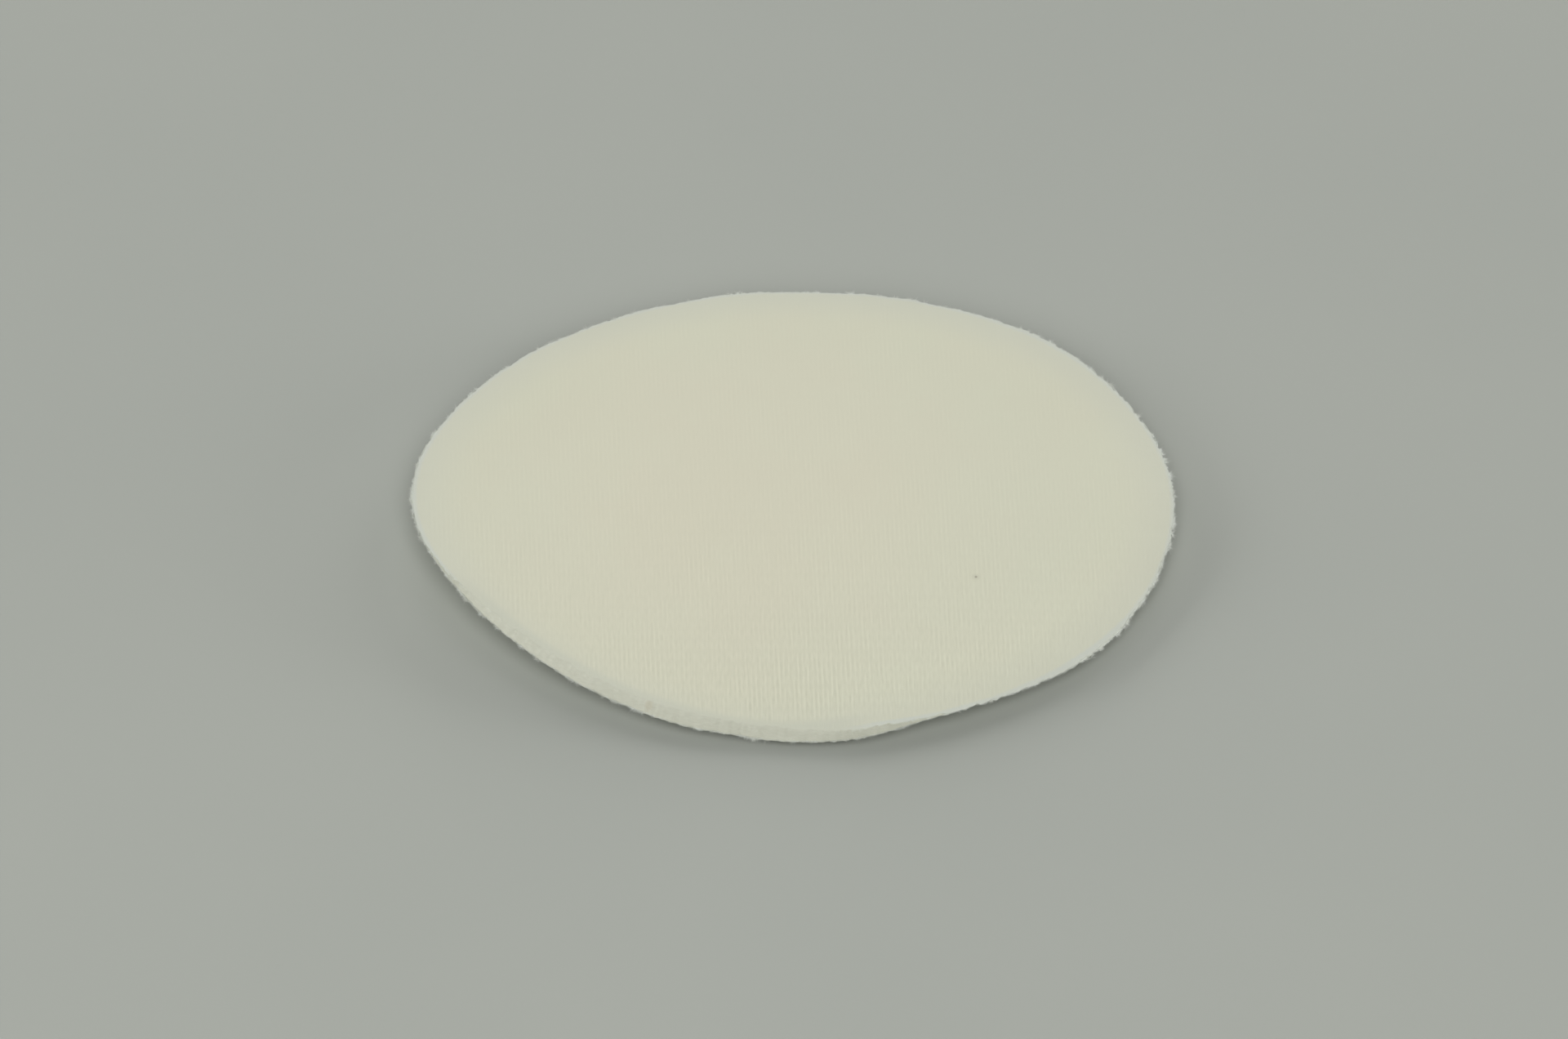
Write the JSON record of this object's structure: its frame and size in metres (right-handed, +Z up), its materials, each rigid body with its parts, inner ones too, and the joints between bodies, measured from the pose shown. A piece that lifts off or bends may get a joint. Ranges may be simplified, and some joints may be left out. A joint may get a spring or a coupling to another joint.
{
  "type": "cotton eye pad",
  "caption": "Oval cotton eye pad: soft wadding between two fine knitted covers, with a low crown, a thin pinched edge and a rim that curls up off the table.",
  "frame": {"origin": "centre of the pad's outline at the level of the table, on the flat of the underside", "axes": "+X along the pad's long side towards its blunter end, +Y across the pad, away from the sagging front edge, +Z up"},
  "size_m": [0.07, 0.056, 0.0055],
  "materials": {
    "knitted_cotton": "matt cream knit with fine ribs",
    "cotton_wadding": "matt loose fibre, cut at the edge"
  },
  "bodies": {
    "root": {"front_cover": "knitted_cotton", "cotton_wadding": "cotton_wadding", "back_cover": "knitted_cotton"}
  },
  "joints": []
}
